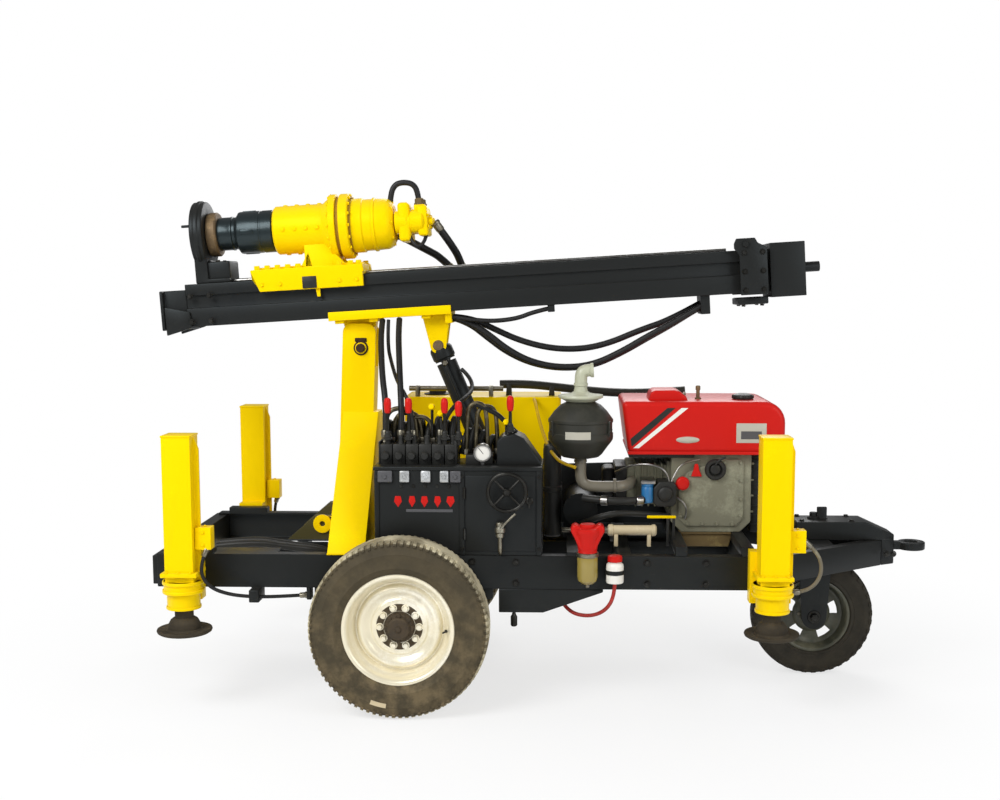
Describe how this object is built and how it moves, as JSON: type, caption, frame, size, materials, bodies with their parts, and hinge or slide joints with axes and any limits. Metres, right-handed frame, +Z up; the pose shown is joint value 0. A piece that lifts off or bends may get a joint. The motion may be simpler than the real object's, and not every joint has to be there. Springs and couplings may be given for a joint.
{
  "type": "trailer-mounted hydraulic water well drilling rig",
  "caption": "Towed water well drilling rig: hinged mast with a sliding drill head on a rail chassis with wheels, jacks, engine, control console and oil tank.",
  "frame": {"origin": "centre of the bounding box's footprint, on the ground", "axes": "+X forward to the tow eye, +Y to the side away from the levers, +Z up"},
  "size_m": [3.3797, 1.5018, 2.1371],
  "materials": {
    "yellow_paint": "gloss",
    "black_paint": "satin",
    "red_paint": "gloss",
    "grey_green_cast": "matt paint over casting",
    "silver_paint": "satin",
    "tyre_rubber": "dusty",
    "hose_rubber": "matt",
    "bright_steel": "machined",
    "dark_plastic": "matt",
    "clear_plastic": "translucent",
    "red_plastic": "gloss",
    "brown_paint": "oily"
  },
  "bodies": {
    "chassis": {"air_cleaner": "dark_plastic", "axle": "black_paint", "belly_box": "black_paint", "console": "black_paint", "console_fittings": "silver_paint", "cross_members": "black_paint", "drain_bottle": "clear_plastic", "drain_hose": "red_plastic", "drawbar_far": "black_paint", "drawbar_near": "black_paint", "engine_block": "grey_green_cast", "engine_hood": "red_paint", "flywheel": "black_paint", "fuel_filter": "red_paint", "hydraulic_pump": "black_paint", "jack_hose_front_far": "hose_rubber", "jack_hose_front_near": "hose_rubber", "jack_hose_rear_far": "hose_rubber", "jack_hose_rear_near": "hose_rubber", "jack_tube_front_far": "yellow_paint", "jack_tube_front_near": "yellow_paint", "jack_tube_rear_far": "yellow_paint", "jack_tube_rear_near": "yellow_paint", "leaf_springs": "black_paint", "mast_post": "yellow_paint", "oil_pan": "brown_paint", "oil_tank": "yellow_paint", "rail_far": "black_paint", "rail_near": "black_paint", "swivel_beam": "black_paint", "tow_eye": "black_paint", "valve_block": "black_paint"},
    "mast": {"mast_beam": "black_paint", "mast_foot": "black_paint", "mast_head": "black_paint", "rod_guide": "black_paint", "mast_cradle": "yellow_paint", "festoon_hose_near": "hose_rubber", "festoon_hose_mid": "hose_rubber", "festoon_hose_far": "hose_rubber", "festoon_hose_short": "hose_rubber"},
    "tilt_barrel": {"tilt_barrel": "black_paint"},
    "tilt_rod": {"tilt_rod": "bright_steel"},
    "carriage": {"feed_carriage": "yellow_paint", "gear_case": "yellow_paint", "head_motors": "yellow_paint", "head_hose_top": "hose_rubber", "head_hose_rear": "hose_rubber"},
    "spindle": {"spindle": "black_paint"},
    "main_wheel_near": {"main_tyre_near": "tyre_rubber", "main_rim_near": "silver_paint"},
    "main_wheel_far": {"main_tyre_far": "tyre_rubber", "main_rim_far": "silver_paint"},
    "front_fork": {"front_fork": "black_paint"},
    "front_wheel": {"front_tyre": "tyre_rubber", "front_rim": "black_paint"},
    "jack_leg_rear_near": {"jack_leg_rear_near": "bright_steel"},
    "jack_leg_rear_far": {"jack_leg_rear_far": "bright_steel"},
    "jack_leg_front_near": {"jack_leg_front_near": "bright_steel"},
    "jack_leg_front_far": {"jack_leg_front_far": "bright_steel"}
  },
  "joints": [
    {"name": "mast_tilt", "type": "hinge", "parent": "chassis", "child": "mast", "pos_m": [-0.818, 0, 1.462], "axis": [0, -1, 0], "range_deg": [0, 86.5]},
    {"name": "tilt_barrel_swing", "type": "hinge", "parent": "chassis", "child": "tilt_barrel", "pos_m": [-0.14, 0, 0.67], "axis": [0, -1, 0], "range_deg": [0, 7.76]},
    {"name": "tilt_rod_stroke", "type": "slide", "parent": "tilt_barrel", "child": "tilt_rod", "axis": [-0.3881, 0, 0.9216], "range_m": [0, 0.4444]},
    {"name": "carriage_feed", "type": "slide", "parent": "mast", "child": "carriage", "axis": [0.9981, 0, 0.061], "range_m": [0, 1.74]},
    {"name": "spindle_spin", "type": "hinge", "parent": "carriage", "child": "spindle", "pos_m": [-1.24992, 0, 1.97158], "axis": [0.9981, 0, 0.061], "continuous": true},
    {"name": "main_wheel_near_spin", "type": "hinge", "parent": "chassis", "child": "main_wheel_near", "pos_m": [-0.585, -0.645, 0.366], "axis": [0, -1, 0], "continuous": true},
    {"name": "main_wheel_far_spin", "type": "hinge", "parent": "chassis", "child": "main_wheel_far", "pos_m": [-0.585, 0.645, 0.366], "axis": [0, -1, 0], "continuous": true},
    {"name": "front_steer", "type": "hinge", "parent": "chassis", "child": "front_fork", "pos_m": [1.192, 0, 0.59], "axis": [0, 0, 1], "range_deg": [-60, 60]},
    {"name": "front_wheel_spin", "type": "hinge", "parent": "front_fork", "child": "front_wheel", "pos_m": [1.192, 0, 0.27], "axis": [0, -1, 0], "continuous": true},
    {"name": "jack_rear_near_extend", "type": "slide", "parent": "chassis", "child": "jack_leg_rear_near", "axis": [0, 0, -1], "range_m": [0, 0.4]},
    {"name": "jack_rear_far_extend", "type": "slide", "parent": "chassis", "child": "jack_leg_rear_far", "axis": [0, 0, -1], "range_m": [0, 0.4]},
    {"name": "jack_front_near_extend", "type": "slide", "parent": "chassis", "child": "jack_leg_front_near", "axis": [0, 0, -1], "range_m": [0, 0.4]},
    {"name": "jack_front_far_extend", "type": "slide", "parent": "chassis", "child": "jack_leg_front_far", "axis": [0, 0, -1], "range_m": [0, 0.4]}
  ],
  "couplings": [
    {"joint": "tilt_barrel_swing", "follows": "mast_tilt", "ratio": 0.089141},
    {"joint": "tilt_rod_stroke", "follows": "mast_tilt", "m_per_rad": 0.29367}
  ]
}
